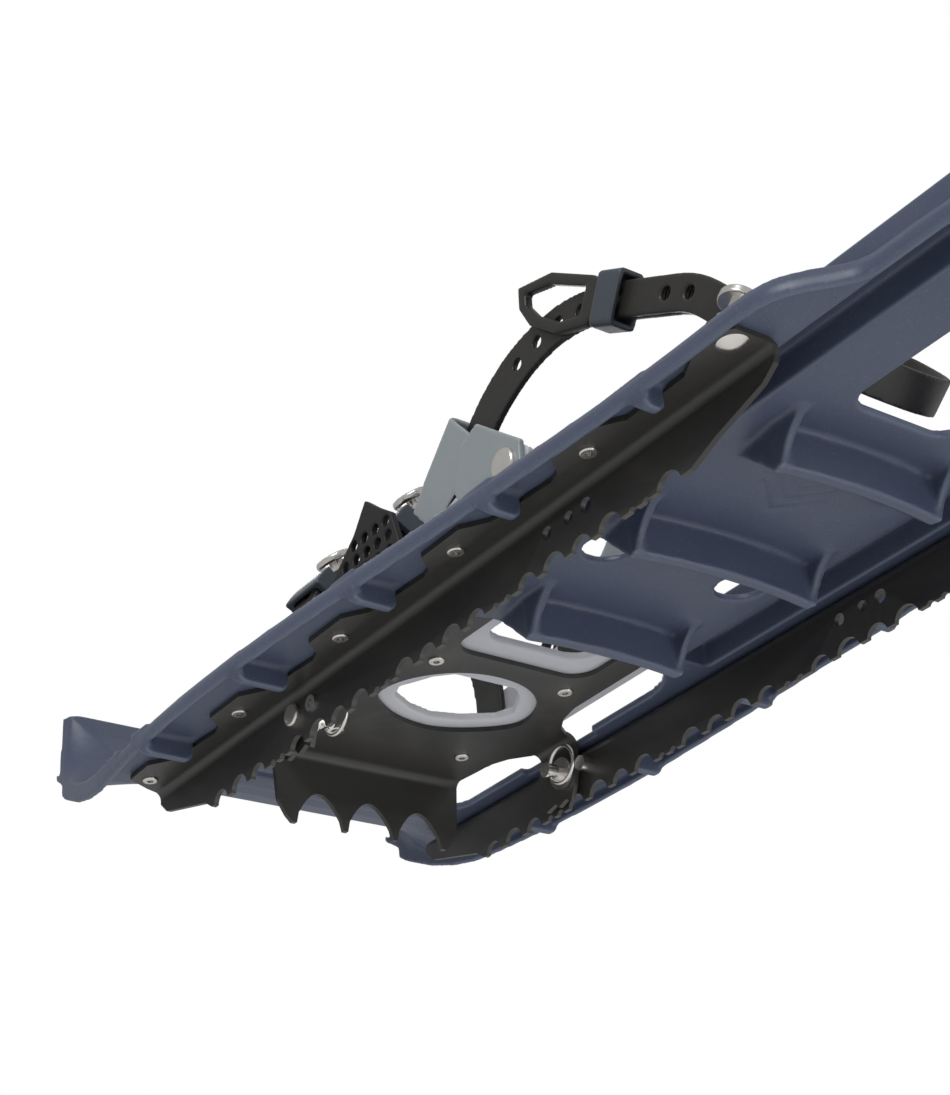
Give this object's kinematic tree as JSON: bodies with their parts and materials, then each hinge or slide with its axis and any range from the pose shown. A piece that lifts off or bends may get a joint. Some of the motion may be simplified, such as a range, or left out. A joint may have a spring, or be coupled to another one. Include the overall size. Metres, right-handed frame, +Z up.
{
  "type": "snowshoe",
  "caption": "Moulded-deck snowshoe with toothed steel side rails, a pivoting toothed claw and a soft cradle binding with forefoot straps and a heel loop.",
  "frame": {"origin": "under the middle of the snowshoe's length and width, on the surface it stands on", "axes": "+X to the nose, +Y to the wearer's left, +Z up"},
  "size_m": [0.559, 0.2034, 0.1367],
  "materials": {
    "deck_plastic": "moulded, satin, slate blue",
    "black_steel": "satin black coat",
    "bright_steel": "bright nickel",
    "cradle_tpu": "soft, milky, slightly translucent",
    "sleeve_tpu": "soft, smooth, slightly translucent grey",
    "strap_black": "soft satin black",
    "keeper_grey": "soft blue-grey",
    "pad_black": "perforated, matt"
  },
  "bodies": {
    "snowshoe": {"deck": "deck_plastic", "rail_left": "black_steel", "rail_right": "black_steel", "rail_eyelets": "bright_steel", "tail_rivets": "bright_steel", "pivot_pins": "bright_steel", "pivot_washers": "bright_steel", "stop_studs": "bright_steel"},
    "binding": {"claw_plate": "black_steel", "claw_rivets": "bright_steel", "cradle": "cradle_tpu", "instep_pad_left": "pad_black", "instep_pad_right": "pad_black", "toe_strap_front": "strap_black", "toe_buckle_front": "strap_black", "toe_post_front": "bright_steel", "toe_strap_rear": "strap_black", "toe_buckle_rear": "strap_black", "toe_post_rear": "bright_steel", "strap_rivets": "bright_steel"},
    "heel_loop": {"heel_strap": "strap_black", "heel_band": "strap_black", "heel_spool": "bright_steel", "heel_stud": "bright_steel", "sleeve_left": "sleeve_tpu", "sleeve_right": "sleeve_tpu", "sleeve_rivets": "bright_steel"},
    "heel_keeper": {"heel_keeper": "keeper_grey"},
    "toe_keeper_front": {"toe_keeper_front": "keeper_grey"},
    "toe_keeper_rear": {"toe_keeper_rear": "keeper_grey"},
    "split_ring_left": {"split_ring_left": "bright_steel"},
    "split_ring_right": {"split_ring_right": "bright_steel"}
  },
  "joints": [
    {"name": "binding_pivot", "type": "hinge", "parent": "snowshoe", "child": "binding", "pos_m": [0.1195, 0, 0.0181], "axis": [0, 1, 0], "range_deg": [0, 45]},
    {"name": "heel_loop_swing", "type": "hinge", "parent": "binding", "child": "heel_loop", "pos_m": [0.0005, 0, 0.0666], "axis": [0, 1, 0], "range_deg": [-1, 18]},
    {"name": "heel_keeper_slide", "type": "slide", "parent": "heel_loop", "child": "heel_keeper", "axis": [-0.8829, 0, -0.4695], "range_m": [-0.002, 0.02]},
    {"name": "toe_keeper_front_slide", "type": "hinge", "parent": "binding", "child": "toe_keeper_front", "pos_m": [0.1445, 0.0014, 0.0596], "axis": [1, 0, 0], "range_deg": [-6, 6]},
    {"name": "toe_keeper_rear_slide", "type": "hinge", "parent": "binding", "child": "toe_keeper_rear", "pos_m": [0.0885, 0.0014, 0.0596], "axis": [1, 0, 0], "range_deg": [-6, 6]},
    {"name": "split_ring_left_swing", "type": "hinge", "parent": "snowshoe", "child": "split_ring_left", "pos_m": [0.1195, 0.0532, 0.0181], "axis": [0, 0, 1], "range_deg": [-12, 60]},
    {"name": "split_ring_right_swing", "type": "hinge", "parent": "snowshoe", "child": "split_ring_right", "pos_m": [0.1195, -0.0532, 0.0181], "axis": [0, 0, 1], "range_deg": [-60, 12]}
  ]
}
